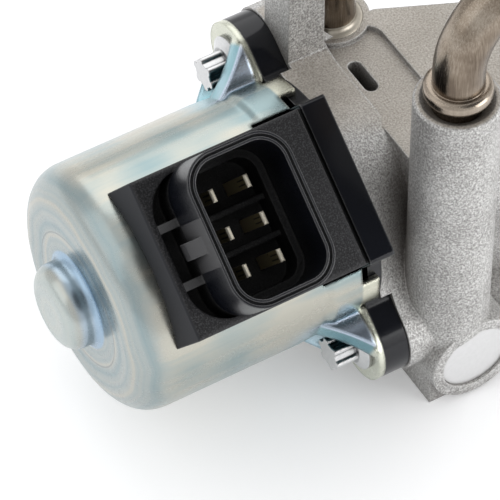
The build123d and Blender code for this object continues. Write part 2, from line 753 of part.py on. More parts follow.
def bracket_lug():
    """Upright lug on the motor flange with a tapped hole, between its face and the rear pipe."""
    start = EAR_X + EAR_SEAT
    end = REAR_BOSS_X - PIPE_R - PIPE_ROOM
    radius = LUG_W / 2
    middle = LUG_Y - radius
    lug = block((start, end), (LUG_Y - LUG_W, LUG_Y), (AXIS_H, LUG_TOP - radius))
    nose = Plane(origin=(start, middle, LUG_TOP - radius), z_dir=(1, 0, 0))
    lug += extrude(nose * Circle(radius), end - start)
    return lug - extrude(nose * Circle(LUG_HOLE_R), end - start)


def along_y(radius, x, z, start, end):
    """Round bar along Y in the valve's frame."""
    spot = Plane(origin=(x, start, z), x_dir=(1, 0, 0), z_dir=(0, 1, 0)) * Circle(radius)
    return extrude(spot, end - start)


def gas_way():
    """Hollow of the stem line, in the motor's own frame: pilot, spring room, bush, outlet, seat and inlet."""
    end = END_X - EAR_X
    way = rod(PILOT_R + PLATE_GAP, MATE, MATE + PILOT_LENGTH + SEAL_RING_GAP)
    way += rod(SPRING_ROOM, MATE, CHAMBER_TO)
    way += rod(BUSH_R, CHAMBER_TO, OUTLET_FROM)
    way += rod(OUTLET_ROOM, OUTLET_FROM, SEAT_FROM)
    way += rod(SEAT_R, SEAT_FROM, SEAT_TO)
    way += rod(INLET_R, SEAT_TO, end)
    way += ring(SEAL_RING_R + SEAL_RING_W, SEAL_RING_R, MATE, MATE + SEAL_RING_DEPTH)
    for hole in at_bolts(rod(BOLT_R + THREAD_GAP, MATE, BOLT_LENGTH + THREAD_GAP)):
        way += hole
    return way


def coolant_way():
    """Hollow of the water jacket: two upright bores and the cored cross passage."""
    way = post(PIPE_R, FRONT_BOSS_X, FRONT_BOSS_Y, FRONT_BOSS_Z - PIPE_SINK, FRONT_BOSS_Z)
    way += post(PIPE_BORE, FRONT_BOSS_X, FRONT_BOSS_Y, PLUG_Z, FRONT_BOSS_Z)
    way += post(PIPE_R, REAR_BOSS_X, REAR_BOSS_Y, REAR_BOSS_Z - PIPE_SINK, REAR_BOSS_Z)
    way += post(PIPE_R + PIPE_ROOM, REAR_BOSS_X, REAR_BOSS_Y, REAR_BOSS_Z, LUG_TOP)
    way += post(PIPE_BORE, REAR_BOSS_X, REAR_BOSS_Y, PLUG_Z, REAR_BOSS_Z)
    way += along_y(JACKET_R, PLUG_X, PLUG_Z, PLUG_Y + PLUG_SINK, REAR_BOSS_Y)
    return way + along_y(PLUG_R, PLUG_X, PLUG_Z, PLUG_Y - PLUG_T, PLUG_Y + PLUG_SINK + PLUG_T)


def port_holes():
    """Bolt holes of the base and of the inlet flange."""
    holes = [post(PORT_HOLE_R, 0, side * OUTLET_BOLT_Y, 0, BASE_T) for side in (-1, 1)]
    for side in (-1, 1):
        facing = Plane(origin=(END_X, side * INLET_BOLT_Y, AXIS_H), z_dir=(-1, 0, 0))
        holes.append(extrude(facing * Circle(PORT_HOLE_R), INLET_FLANGE_T))
    return holes


def front_boss():
    """Upright boss of the elbow, with an eased rim and a countersunk mouth."""
    x, y, z = FRONT_BOSS_X, FRONT_BOSS_Y, FRONT_BOSS_Z
    boss = post(FRONT_BOSS_R, x, y, FRONT_BOSS_FOOT, z)
    boss = fillet(boss.edges().sort_by(Axis.Z)[-1], BOSS_EDGE)
    dish = turned([(0, -BOSS_DISH_H), (PIPE_R, -BOSS_DISH_H), (BOSS_DISH_R, 0), (0, 0)])
    return boss - Pos(x, y, z) * dish


def valve_housing():
    """Aluminium casting that carries the motor, the valve and the coolant pipes."""
    start = EAR_X + MATE
    foot_to = start + CAST_EAR_T
    housing = MOTOR * motor_flange() + MOTOR * rod(BODY_R, MATE + 1, END_X - EAR_X)
    housing += block((FOOT_X, foot_to), (-FOOT_Y, ROOF_BACK), (0, LOWER_EAR_Z))
    housing += base_plate()
    housing += block((FOOT_X, END_X), (-LEG_Y, LEG_Y), (0, AXIS_H))
    housing += roof()
    housing += bracket_lug()
    housing += inlet_flange()
    housing += front_boss()
    housing += post(REAR_BOSS_R, REAR_BOSS_X, REAR_BOSS_Y, BASE_T / 2, REAR_BOSS_Z)
    housing += along_y(PLUG_BOSS_R, PLUG_X, PLUG_Z, PLUG_Y, 0)
    housing -= MOTOR * gas_way()
    housing -= post(OUTLET_R, 0, 0, 0, AXIS_H)
    housing -= coolant_way()
    vent = Pos(VENT_X, VENT_Y, AXIS_H) * extrude(Rot(0, 0, 90) * SlotOverall(VENT_L, VENT_W), RIDGE_Z)
    housing -= vent
    housing -= port_holes()
    return housing


def pipe_along(path):
    """Thin-walled tube along a path, with a hose bead near its far end."""
    outer = sweep(Plane(origin=path @ 0, z_dir=path % 0) * Circle(PIPE_R), path=path)
    inner = sweep(Plane(origin=path @ 0, z_dir=path % 0) * Circle(PIPE_BORE), path=path)
    end = path @ 1
    way = path % 1
    bead = Plane(origin=end - way * HOSE_BEAD, z_dir=way)
    return outer + extrude(bead * Circle(HOSE_BEAD_R), HOSE_BEAD_R - PIPE_R) - inner


def coolant_elbow():
    """Bent pipe in the front boss, with the collar that it is pressed home by."""
    x, y, z = FRONT_BOSS_X, FRONT_BOSS_Y, FRONT_BOSS_Z
    bend = z + ELBOW_RISE + ELBOW_BEND
    route = [(x, y, z - PIPE_SINK), (x, y, bend), (x + ELBOW_BEND + ELBOW_RUN, y, bend)]
    low = z + BEAD_LIFT
    collar = post(BEAD_R, x, y, low, low + BEAD_H)
    collar = fillet(collar.edges(), BEAD_EDGE)
    collar -= post(PIPE_BORE, x, y, low, low + BEAD_H)
    return pipe_along(FilletPolyline(*route, radius=ELBOW_BEND)) + collar


def coolant_pipe():
    """Straight pipe in the rear boss."""
    x, y, z = REAR_BOSS_X, REAR_BOSS_Y, REAR_BOSS_Z
    path = Line((x, y, z - PIPE_SINK), (x, y, REAR_PIPE_TOP))
    return pipe_along(path)


def core_plug():
    """Pressed disc that closes the cored passage."""
    return along_y(PLUG_R, PLUG_X, PLUG_Z, PLUG_Y + PLUG_SINK, PLUG_Y + PLUG_SINK + PLUG_T)


REAR = STATOR_FROM
FRONT = STATOR_FROM + STATOR_LENGTH + STATOR_GAP
SECOND_TURN = 90 / POLE_COUNT
MOTOR_PARTS = {
    "motor_can": motor_can(),
    "connector_body": connector_body(),
    "terminal_pins": terminal_pins(),
    "flange_bolts": flange_bolts(),
    "rear_stator_cup": stator_cup(REAR, 0),
    "rear_pole_plate": pole_plate(REAR, 0),
    "rear_bobbin": bobbin(REAR),
    "rear_winding": winding(REAR),
    "front_stator_cup": stator_cup(FRONT, SECOND_TURN),
    "front_pole_plate": pole_plate(FRONT, SECOND_TURN),
    "front_bobbin": bobbin(FRONT),
    "front_winding": winding(FRONT),
    "rotor_magnet": rotor_magnet(),
    "rotor_sleeve": rotor_sleeve(),
    "rear_bush": rear_bush(),
    "bearing_outer_race": bearing_outer(),
    "bearing_inner_race": bearing_inner(),
    "bearing_balls": bearing_balls(),
    "lead_screw": lead_screw(),
    "screw_guide": screw_guide(),
    "motor_seal": motor_seal(),
    "valve_poppet": valve_poppet(),
    "stem_clip": stem_clip(),
    "spring_cup": spring_cup(),
    "valve_spring": valve_spring(),
    "stem_seal": stem_seal(),
    "stem_bush": stem_bush(),
    "valve_seat": valve_seat(),
}
CAST_PARTS = {
    "valve_housing": valve_housing(),
    "coolant_elbow": coolant_elbow(),
    "coolant_pipe": coolant_pipe(),
    "core_plug": core_plug(),
}

os.makedirs("parts", exist_ok=True)
for name, shape in MOTOR_PARTS.items():
    export_step(MOTOR * shape, f"parts/{name}.step")
for name, shape in CAST_PARTS.items():
    export_step(shape, f"parts/{name}.step")
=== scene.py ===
"""Looks of a water-cooled exhaust gas recirculation valve, piece by piece in the order of its assembly."""
from math import cos, pi, radians, sin

import bpy
import numpy as np
from mathutils import Matrix, Vector


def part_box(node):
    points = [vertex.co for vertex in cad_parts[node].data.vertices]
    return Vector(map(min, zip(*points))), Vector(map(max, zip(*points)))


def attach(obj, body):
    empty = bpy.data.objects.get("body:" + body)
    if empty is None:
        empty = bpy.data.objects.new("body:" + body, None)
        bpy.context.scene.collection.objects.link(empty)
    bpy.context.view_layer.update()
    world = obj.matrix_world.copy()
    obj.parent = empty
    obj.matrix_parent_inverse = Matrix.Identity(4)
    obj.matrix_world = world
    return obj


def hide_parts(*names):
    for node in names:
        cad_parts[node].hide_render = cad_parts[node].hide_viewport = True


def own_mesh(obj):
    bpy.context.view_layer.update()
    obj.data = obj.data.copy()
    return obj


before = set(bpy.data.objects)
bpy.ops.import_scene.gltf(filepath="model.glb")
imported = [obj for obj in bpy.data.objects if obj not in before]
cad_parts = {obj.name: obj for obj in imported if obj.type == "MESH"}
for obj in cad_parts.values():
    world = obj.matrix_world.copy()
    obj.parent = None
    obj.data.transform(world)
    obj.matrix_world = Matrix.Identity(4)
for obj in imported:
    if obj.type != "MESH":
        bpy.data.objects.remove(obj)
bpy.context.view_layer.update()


# Valve housing
# Aluminium casting, shot blasted to a dull sparkling grain, with brown shade painted into its corners and
# its open edges rubbed bright with a painted highlight.
# The base and the inlet flange are milled flat for their gaskets.
class Field:
    """An output socket of a material's nodes. Arithmetic between fields and numbers adds Math nodes."""

    def __init__(self, tree, socket=None):
        self.tree = tree
        self.socket = socket

    def node(self, kind, settings=None, inputs=None, output=0):
        """Add a node: first its settings, a ramp's stops as (place, colour), then its sockets' values."""
        node = self.tree.nodes.new(kind)
        for name, value in (settings or {}).items():
            if name == "stops":
                elements = node.color_ramp.elements
                while len(elements) < len(value):
                    elements.new(1.0)
                for element, (place, colour) in zip(elements, value):
                    element.position = place
                    element.color = (*colour, 1.0)
            else:
                setattr(node, name, value)
        for name, value in (inputs or {}).items():
            if isinstance(value, Field):
                self.tree.links.new(value.socket, node.inputs[name])
            else:
                node.inputs[name].default_value = value
        return Field(self.tree, node.outputs[output])

    def math(self, operation, *values):
        """A Math node of this field and other values."""
        inputs = dict(enumerate((self, *values)))
        return self.node("ShaderNodeMath", {"operation": operation}, inputs)

    def __add__(self, other):
        return self.math("ADD", other)

    def __sub__(self, other):
        return self.math("SUBTRACT", other)

    def __rsub__(self, other):
        return (self * -1.0).math("ADD", other)

    def __mul__(self, other):
        return self.math("MULTIPLY", other)

    __radd__ = __add__
    __rmul__ = __mul__

    def __abs__(self):
        return self.math("ABSOLUTE")

    def either(self, other):
        """The larger of two masks."""
        return self.math("MAXIMUM", other)

    def step(self, low, high):
        """Smooth rise from 0 at low to 1 at high."""
        settings = {"interpolation_type": "SMOOTHSTEP"}
        return self.node("ShaderNodeMapRange", settings, {"Value": self, "From Min": low, "From Max": high})

    def band(self, low, high, soft):
        """1 between low and high, falling to 0 over a soft edge outside them."""
        return self.step(low - soft, low) * (1.0 - self.step(high, high + soft))

    def noise(self, size, detail=2.0, rough=0.5):
        """Noise whose grains are about size metres across, at this place."""
        inputs = {"Vector": self, "Scale": 1.0 / size, "Detail": detail, "Roughness": rough}
        return self.node("ShaderNodeTexNoise", None, inputs)

    def ramp(self, *stops):
        """Colour that runs through the stops as this value rises."""
        return self.node("ShaderNodeValToRGB", {"stops": stops}, {"Fac": self})

    def mix(self, first, second):
        """Colour between two, this value being the share of the second."""
        settings = {"data_type": "RGBA"}
        first, second = [(*c, 1.0) if isinstance(c, tuple) else c for c in (first, second)]
        return self.node("ShaderNodeMix", settings, {"Factor": self, 6: first, 7: second}, output=2)

    def dot(self, other):
        """Dot product of this direction and another one."""
        inputs = {0: self, 1: other}
        return self.node("ShaderNodeVectorMath", {"operation": "DOT_PRODUCT"}, inputs, output="Value")

    def axes(self):
        """The three coordinates of this place."""
        split = self.node("ShaderNodeSeparateXYZ", None, {"Vector": self}).socket.node
        return [Field(self.tree, socket) for socket in split.outputs]

    def join(self, second, third):
        """A place whose coordinates are this value and two more."""
        return self.node("ShaderNodeCombineXYZ", None, {"X": self, "Y": second, "Z": third})

    def radius(self, other):
        """Distance from the origin of two coordinates."""
        return (self * self + other * other).math("SQRT")


def finish(name, sockets):
    """New material: its shader with plain values on the sockets, and the place on the piece as a field."""
    material = bpy.data.materials.new(name)
    material.use_nodes = True
    tree = material.node_tree
    shader = tree.nodes["Principled BSDF"]
    for socket, value in sockets.items():
        shader.inputs[socket].default_value = value
    place = Field(tree).node("ShaderNodeTexCoord", output="Object")
    return material, shader, place


def feed(shader, **fields):
    """Link fields to the shader's sockets, whose spaces are written as underscores."""
    for name, field in fields.items():
        field.tree.links.new(field.socket, shader.inputs[name.replace("_", " ")])


def rounded(place, radius):
    """Normal of the surface as if its edges were eased by a radius."""
    return place.node("ShaderNodeBevel", {"samples": 6}, {"Radius": radius})


def bump(height, distance, normal):
    """Normal of a surface whose height, from 0 to 1, stands for a distance in metres."""
    return height.node("ShaderNodeBump", None, {"Height": height, "Distance": distance, "Normal": normal})


def edge_mask(normal, turned=0.72, flat=0.98):
    """1 along edges, where the eased normal's cosine to the true one is turned, and 0 where it is flat."""
    true = normal.node("ShaderNodeNewGeometry", output="Normal")
    return 1.0 - normal.dot(true).step(turned, flat)


def open_sky(place, reach):
    """1 on open faces, towards 0 in corners that other surfaces hide within a reach."""
    return place.node("ShaderNodeAmbientOcclusion", {"samples": 6}, {"Distance": reach}, output="AO")


def dress(material, *nodes):
    """Give CAD nodes this material in place of their plain one."""
    for node in nodes:
        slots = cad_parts[node].data.materials
        slots.clear()
        slots.append(material)


CAST_EASE = 0.0006
CAST_GRAIN = 0.00034
CAST_GRAIN_DEPTH = 0.00020
CAST_CLOUD = 0.011
CORNER_REACH = 0.008
CORNER_RANGE = (0.12, 0.80)
UPWARD_RANGE = (0.9, 0.97)
ROOF_Z = 0.0509
ROOF_SOFT = 0.0003
MILLED_DEPTH = 0.00005
MILLED_FADE = 0.0002
INLET_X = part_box("valve_housing")[1].x
CAST_STOPS = (
    (0.36, (0.28, 0.27, 0.262)),
    (0.50, (0.52, 0.512, 0.50)),
    (0.62, (0.78, 0.775, 0.76)),
)
ROOF_TAN = (0.43, 0.37, 0.295)
RUBBED_EDGE_HIGHLIGHT = (0.88, 0.875, 0.86)
CORNER_SHADE_BROWN = (0.105, 0.086, 0.070)
MILLED_FACE = (0.60, 0.60, 0.59)
casting, shader, place = finish("blasted_casting", {"Metallic": 0.5})
x, _, z = place.axes()
eased = rounded(place, CAST_EASE)
open_face = open_sky(place, CORNER_REACH).step(*CORNER_RANGE)
speckle = place.noise(CAST_GRAIN, detail=2.0, rough=0.6)
cloud = place.noise(CAST_CLOUD, detail=2.0)
upward = eased.axes()[2].step(*UPWARD_RANGE)
roof = upward * z.step(ROOF_Z - ROOF_SOFT, ROOF_Z)
base_face = 1.0 - z.step(MILLED_DEPTH, MILLED_FADE)
inlet_face = x.step(INLET_X - MILLED_FADE, INLET_X - MILLED_DEPTH)
milled = base_face.either(inlet_face)
blasted = (speckle * 0.8 + cloud * 0.2).ramp(*CAST_STOPS)
warm = (roof * 0.5).mix(blasted, ROOF_TAN)
# Rubbed edges, lightened also as a painted highlight along the open edges.
rubbed_and_highlit = (edge_mask(eased) * open_face * 0.6).mix(warm, RUBBED_EDGE_HIGHLIGHT)
# Painted shade: corners that other surfaces hide within a reach are darkened towards brown.
corner_shaded = ((1.0 - open_face) * 0.70).mix(rubbed_and_highlit, CORNER_SHADE_BROWN)
feed(shader, Base_Color=milled.mix(corner_shaded, MILLED_FACE))
feed(shader, Roughness=0.36 + speckle * 0.26 - milled * 0.05)
feed(shader, Normal=bump(speckle * (1.0 - milled), CAST_GRAIN_DEPTH, eased))
dress(casting, "valve_housing")


# Core plug
# Bright pressed disc that closes the cored coolant passage at the front of the casting.
# Its face is finely scuffed, and a dark line of painted shade runs round its rim where it meets the bore.
PLUG_EASE = 0.0004
SCUFF = 0.0010
SCUFF_DEPTH = 0.00002
RIM_REACH = 0.0012
RIM_RANGE = (0.35, 0.9)
PLUG_DULL = (0.70, 0.70, 0.70)
PLUG_BRIGHT = (0.82, 0.82, 0.82)
PLUG_RIM_SHADE = (0.22, 0.21, 0.20)
plug, shader, place = finish("pressed_disc", {"Metallic": 1.0})
eased = rounded(place, PLUG_EASE)
scuff = place.noise(SCUFF, detail=4.0, rough=0.6)
# Painted shade: the rim is darkened where the bore hides it.
rim_shade = 1.0 - open_sky(place, RIM_REACH).step(*RIM_RANGE)
disc = scuff.mix(PLUG_DULL, PLUG_BRIGHT)
feed(shader, Base_Color=(rim_shade * 0.7).mix(disc, PLUG_RIM_SHADE))
feed(shader, Roughness=0.30 + scuff * 0.22)
feed(shader, Normal=bump(scuff, SCUFF_DEPTH, eased))
dress(plug, "core_plug")


# Coolant pipes
# Drawn stainless tube with fine lines along its length, tinted brown by the heat of brazing.
# The elbow in front is pressed home by its paler collar, and the straight pipe stands in a ring of braze.
TUBE_EASE = 0.0003
BLOOM = 0.007
TUBE_LINE = 0.0022
TUBE_LINE_DEPTH = 0.000015
LINES_ACROSS = 9.0
LINES_ALONG = 0.4
COLLAR_FROM = 0.0733
COLLAR_TO = 0.0765
COLLAR_SOFT = 0.0002
FRONT_SOFT = 0.001
TUBE_STOPS = (
    (0.38, (0.135, 0.105, 0.080)),
    (0.52, (0.235, 0.192, 0.150)),
    (0.66, (0.36, 0.312, 0.258)),
)
COLLAR_TAN = (0.46, 0.40, 0.335)
tube, shader, place = finish("tinted_stainless", {"Metallic": 1.0})
x, y, z = place.axes()
eased = rounded(place, TUBE_EASE)
bloom = place.noise(BLOOM, detail=3.0)
lines = (x * LINES_ACROSS).join(y * LINES_ACROSS, z * LINES_ALONG).noise(TUBE_LINE, detail=3.0, rough=0.6)
front = 1.0 - y.step(-FRONT_SOFT, FRONT_SOFT)
collar = z.band(COLLAR_FROM, COLLAR_TO, COLLAR_SOFT) * front
drawn = (bloom * 0.6 + lines * 0.4).ramp(*TUBE_STOPS)
feed(shader, Base_Color=(collar * 0.4).mix(drawn, COLLAR_TAN))
feed(shader, Roughness=0.17 + lines * 0.16)
feed(shader, Normal=bump(lines, TUBE_LINE_DEPTH, eased))
dress(tube, "coolant_elbow", "coolant_pipe")


def lathed_ring(name, middle, profile, steps=96):
    """Closed ring: each profile point (radius r, height h) goes once round the upright line at the middle.

    Point (i, j) is the middle plus (r_j cos t_i, r_j sin t_i, h_j), with t_i the i-th share of a full turn.
    """
    radius, height = np.array(profile).T
    turn = np.arange(steps)[:, None] * (2 * pi / steps)
    offsets = np.broadcast_arrays(radius * np.cos(turn), radius * np.sin(turn), height)
    points = np.stack(offsets, axis=-1) + middle
    count = len(profile)
    i, j = np.meshgrid(np.arange(steps), np.arange(count), indexing="ij")
    next_i = (i + 1) % steps
    next_j = (j + 1) % count
    corners = [(i, j), (next_i, j), (next_i, next_j), (i, next_j)]
    faces = np.stack([around * count + along for around, along in corners], axis=-1)
    mesh = bpy.data.meshes.new(name)
    mesh.from_pydata(points.reshape(-1, 3).tolist(), [], faces.reshape(-1, 4).tolist())
    mesh.polygons.foreach_set("use_smooth", np.ones(len(mesh.polygons), dtype=bool))
    piece = bpy.data.objects.new(name, mesh)
    bpy.context.scene.collection.objects.link(piece)
    return piece


def mottled(name, sockets, grain, dark, pale, detail=2.0):
    """New material whose colour wanders between two, in grains about grain metres across."""
    material, shader, place = finish(name, sockets)
    feed(shader, Base_Color=place.noise(grain, detail).mix(dark, pale))
    return material


PIPE_R = 0.0045
BOSS_TOP = 0.052
BRAZE_R = 0.0013
BRAZE_GRAIN = 0.0008
BRAZE_DULL = (0.36, 0.325, 0.27)
BRAZE_BRIGHT = (0.52, 0.485, 0.42)
low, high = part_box("coolant_pipe")
pipe_x = (low.x + high.x) / 2
pipe_y = (low.y + high.y) / 2
quarter = np.linspace(0, pi / 2, 9)
hollow_r = PIPE_R + BRAZE_R - BRAZE_R * np.sin(quarter)
hollow_z = BRAZE_R - BRAZE_R * np.cos(quarter)
fillet_profile = [(PIPE_R, 0.0), *zip(hollow_r, hollow_z)]
braze = lathed_ring("pipe_braze", (pipe_x, pipe_y, BOSS_TOP), fillet_profile)
solder_sockets = {"Metallic": 1.0, "Roughness": 0.42}
solder = mottled("braze_metal", solder_sockets, BRAZE_GRAIN, BRAZE_DULL, BRAZE_BRIGHT, detail=3.0)
braze.data.materials.append(solder)
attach(braze, "housing")


# Valve, stem and spring
# Turned stainless poppet on a hard seat ring, closed by a round-wire spring on a clipped cup.
# A copy of the spring, with a mesh of its own, stands for its node and hangs on the housing; the real
# spring shortens as the poppet lifts.
STREAK = 0.0016
STREAKS_ALONG = 6.0
STEEL_DULL = (0.48, 0.48, 0.47)
STEEL_BRIGHT = (0.62, 0.62, 0.61)
steel, shader, place = finish("turned_stainless", {"Metallic": 1.0})
x, y, z = place.axes()
streak = (x * STREAKS_ALONG).join(y, z).noise(STREAK, detail=3.0)
feed(shader, Base_Color=streak.mix(STEEL_DULL, STEEL_BRIGHT))
feed(shader, Roughness=0.22 + streak * 0.2)
dress(steel, "valve_poppet", "valve_seat", "lead_screw", "valve_spring", "stem_clip", "spring_cup")

coil = bpy.data.objects.new("closing_spring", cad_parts["valve_spring"].data.copy())
bpy.context.scene.collection.objects.link(coil)
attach(coil, "housing")
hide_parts("valve_spring")
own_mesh(coil)

rubber = mottled("seal_rubber", {"Roughness": 0.7}, 0.001, (0.02, 0.02, 0.02), (0.045, 0.045, 0.045))
dress(rubber, "stem_seal", "motor_seal")


# Motor inside
# Claw-pole stators with copper windings on moulded formers, round a ring magnet on its turned nut.
# The nut runs in a ball bearing and a plain bush, and the screw slides in a moulded guide.
BRONZE_SOCKETS = {"Metallic": 1.0, "Roughness": 0.4}
bronze = mottled("bearing_bronze", BRONZE_SOCKETS, 0.0006, (0.45, 0.34, 0.19), (0.60, 0.47, 0.28))
dress(bronze, "rear_bush", "stem_bush", "rotor_sleeve")
IRON_SOCKETS = {"Metallic": 1.0, "Roughness": 0.45}
iron = mottled("soft_iron", IRON_SOCKETS, 0.002, (0.38, 0.39, 0.40), (0.50, 0.51, 0.52))
dress(iron, "rear_stator_cup", "rear_pole_plate", "front_stator_cup", "front_pole_plate")
dress(iron, "bearing_outer_race", "bearing_inner_race", "bearing_balls")
COPPER_SOCKETS = {"Metallic": 0.9, "Roughness": 0.3}
copper = mottled("enamelled_copper", COPPER_SOCKETS, 0.0004, (0.45, 0.19, 0.08), (0.66, 0.33, 0.16))
dress(copper, "rear_winding", "front_winding")
resin = mottled("former_resin", {"Roughness": 0.5}, 0.001, (0.10, 0.10, 0.095), (0.17, 0.17, 0.16))
dress(resin, "rear_bobbin", "front_bobbin", "screw_guide")
ferrite = mottled("bonded_ferrite", {"Roughness": 0.6}, 0.0005, (0.05, 0.05, 0.055), (0.09, 0.09, 0.095))
dress(ferrite, "rotor_magnet")


# Motor can
# Deep-drawn steel cup, zinc plated and passivated: pale green-grey on the wall, rings of blue and straw on
# the end, straw on the ears and clinch tabs.
# Painted reflections: blue-green on the flares round the bolts and blue at the dome's foot; a painted
# highlight along the ridge round each bolt.
TILT = radians(37.0)
AXIS_Z = 0.032
SEAT_X = -0.050
BOLT_V = 0.0268


def motor_axes(place):
    """Station along the motor axis from the bolt seat, and the offsets u and v across it, in metres."""
    x, y, z = place.axes()
    rise = z - AXIS_Z
    return x - SEAT_X, rise * cos(TILT) - y * sin(TILT), y * -cos(TILT) - rise * sin(TILT)


CAN_EASE = 0.0010
CAN_CLOUD = 0.014
CAN_FINE = 0.0009
CAN_LINE = 0.0024
LINE_STRETCH = 0.06
RING = 0.0021
RING_WANDER = 0.005
CAN_BUMP = 0.00001
# Where the tints, painted reflections and painted highlight begin and end: stations along the axis, and
# radii from the axis or from a bolt.
SHOULDER_STATION = (-0.0422, -0.0367)
DOME_STATION = (-0.0489, -0.0472)
DOME_FOOT_R = (0.0082, 0.0089)
DOME_FOOT_SOFT = 0.0006
COINED_R = (0.01262, 0.01278)
COINED_SOFT = 0.00012
FLARE_REFLECTION_R = (0.0078, 0.0135)
FLARE_REFLECTION_STATION = (-0.0165, -0.0085)
RIDGE_R = (0.0096, 0.0101)
RIDGE_SOFT = 0.0005
RIDGE_STATION = (-0.0120, -0.0060)
EAR_R = (0.0125, 0.0145)
EAR_STATION = (-0.0012, -0.0004)
TAB_STATION = (-0.0009, -0.0002)
WALL_STOPS = (
    (0.36, (0.27, 0.355, 0.365)),
    (0.47, (0.38, 0.42, 0.40)),
    (0.58, (0.485, 0.475, 0.415)),
)
RING_STOPS = (
    (0.35, (0.27, 0.34, 0.355)),
    (0.50, (0.36, 0.40, 0.395)),
    (0.63, (0.445, 0.445, 0.405)),
)
TEAL_REFLECTION_STOPS = (
    (0.38, (0.10, 0.27, 0.33)),
    (0.48, (0.22, 0.42, 0.48)),
    (0.58, (0.40, 0.55, 0.64)),
)
STRAW_DULL = (0.56, 0.55, 0.43)
STRAW_BRIGHT = (0.80, 0.785, 0.67)
DOME_GREY = (0.48, 0.52, 0.50)
DOME_FOOT_REFLECTION = (0.30, 0.45, 0.62)
COINED_DARK = (0.20, 0.22, 0.23)
RIDGE_HIGHLIGHT = (0.60, 0.66, 0.80)
zinc, shader, place = finish("passivated_zinc", {"Metallic": 1.0})
eased = rounded(place, CAN_EASE)
station, u, v = motor_axes(place)
out = u.radius(v)
cloud = place.noise(CAN_CLOUD, detail=1.5)
fine = place.noise(CAN_FINE, detail=3.0)
drawn = (station * LINE_STRETCH).join(u, v).noise(CAN_LINE, detail=2.0)
swirl = (out + (cloud - 0.5) * RING_WANDER).join(0.0, 0.0).noise(RING, detail=2.0)
wall = (cloud * 0.7 + drawn * 0.3).ramp(*WALL_STOPS)
rings = swirl.ramp(*RING_STOPS)
teal_reflection = cloud.ramp(*TEAL_REFLECTION_STOPS)
straw = drawn.mix(STRAW_DULL, STRAW_BRIGHT)
end_face = 1.0 - station.step(*SHOULDER_STATION)
dome_top = 1.0 - station.step(*DOME_STATION)
# Painted reflection: a blue ring in the fillet at the foot of the dome.
dome_foot_reflection = end_face * out.band(*DOME_FOOT_R, DOME_FOOT_SOFT)
coined_line = end_face * out.band(*COINED_R, COINED_SOFT)
bolt_side = (abs(v) - BOLT_V).radius(u)
# Painted reflection: blue-green on the flares round the bolts, standing for a darker side mirrored there.
flare_reflection = (1.0 - bolt_side.step(*FLARE_REFLECTION_R)) * station.step(*FLARE_REFLECTION_STATION)
# Painted highlight: a pale violet line along the ridge round each bolt.
ridge_highlight = bolt_side.band(*RIDGE_R, RIDGE_SOFT) * station.step(*RIDGE_STATION)
ear = station.step(*EAR_STATION) * (1.0 - bolt_side.step(*EAR_R))
tab = station.step(*TAB_STATION)
tint = end_face.mix(wall, rings)
tint = (dome_top * 0.75).mix(tint, DOME_GREY)
tint = (dome_foot_reflection * 0.7).mix(tint, DOME_FOOT_REFLECTION)
tint = (coined_line * 0.6).mix(tint, COINED_DARK)
tint = (flare_reflection * 0.85).mix(tint, teal_reflection)
tint = (ridge_highlight * 0.7).mix(tint, RIDGE_HIGHLIGHT)
tint = (ear.either(tab) * 0.85).mix(tint, straw)
lathe = swirl * end_face + drawn * (1.0 - end_face)
feed(shader, Base_Color=tint)
feed(shader, Roughness=0.18 + fine * 0.05 + drawn * 0.12)
feed(shader, Normal=bump(lathe, CAN_BUMP, eased))
dress(zinc, "motor_can")


# Connector body
# One black glass-filled moulding: the motor's end plate with its glossy bar and ears, and the block, spark
# eroded to a fine grain in the mould, that carries the smooth shroud with its latch.
BODY_EASE = 0.0005
BODY_GRAIN = 0.00028
BODY_GRAIN_DEPTH = 0.00010
SHROUD_REACH = 0.012
SHROUD_RANGE = (0.20, 0.75)
# Where the skins begin and end, along the motor axis and across it.
BAR_STATION = (-0.0010, -0.0009)
END_STATION = (-0.0367, -0.0364)
SHROUD_U = (0.0311, 0.0314)
RIB_STATION = (-0.0354, -0.0318)
RIB_V = (0.00445, 0.00595)
RIB_SOFT = 0.00003
RIB_U = (0.0308, 0.0312)
RIB_U_SOFT = 0.0001
LATCH_STATION = (-0.0317, -0.0315)
LATCH_V = (0.0043, 0.0044)
MATTE_STOPS = (
    (0.38, (0.003, 0.003, 0.004)),
    (0.52, (0.012, 0.012, 0.014)),
    (0.66, (0.048, 0.048, 0.052)),
)
GLOSS_BLACK = (0.006, 0.007, 0.011)
RIB_TOP_LIGHT_GREY = (0.11, 0.11, 0.113)
LATCH_LIGHT_GREY = (0.060, 0.060, 0.063)
EDGE_HIGHLIGHT_GREY = (0.24, 0.24, 0.245)
RECESS_SHADE_BLACK = (0.001, 0.001, 0.0013)
moulding, shader, place = finish("black_moulding", {"Specular IOR Level": 0.4})
eased = rounded(place, BODY_EASE)
station, u, v = motor_axes(place)
grain = place.noise(BODY_GRAIN, detail=2.0, rough=0.6)
glossy = station.step(*BAR_STATION)
shroud = u.step(*SHROUD_U)
end = 1.0 - station.step(*END_STATION)
smooth = glossy.either(shroud).either(end)
# Painted shade: hollows that the shroud and block hide are darkened nearly to black.
recess_shade = 1.0 - open_sky(place, SHROUD_REACH).step(*SHROUD_RANGE)
# Painted light: the rib tops and the latch wall are painted grey as if light fell on the black moulding.
lit_rib_top = abs(v).band(*RIB_V, RIB_SOFT) * station.band(*RIB_STATION, RIB_SOFT)
lit_rib_top = lit_rib_top * u.band(*RIB_U, RIB_U_SOFT)
lit_latch = (1.0 - abs(v).step(*LATCH_V)) * (1.0 - station.step(*LATCH_STATION)) * shroud
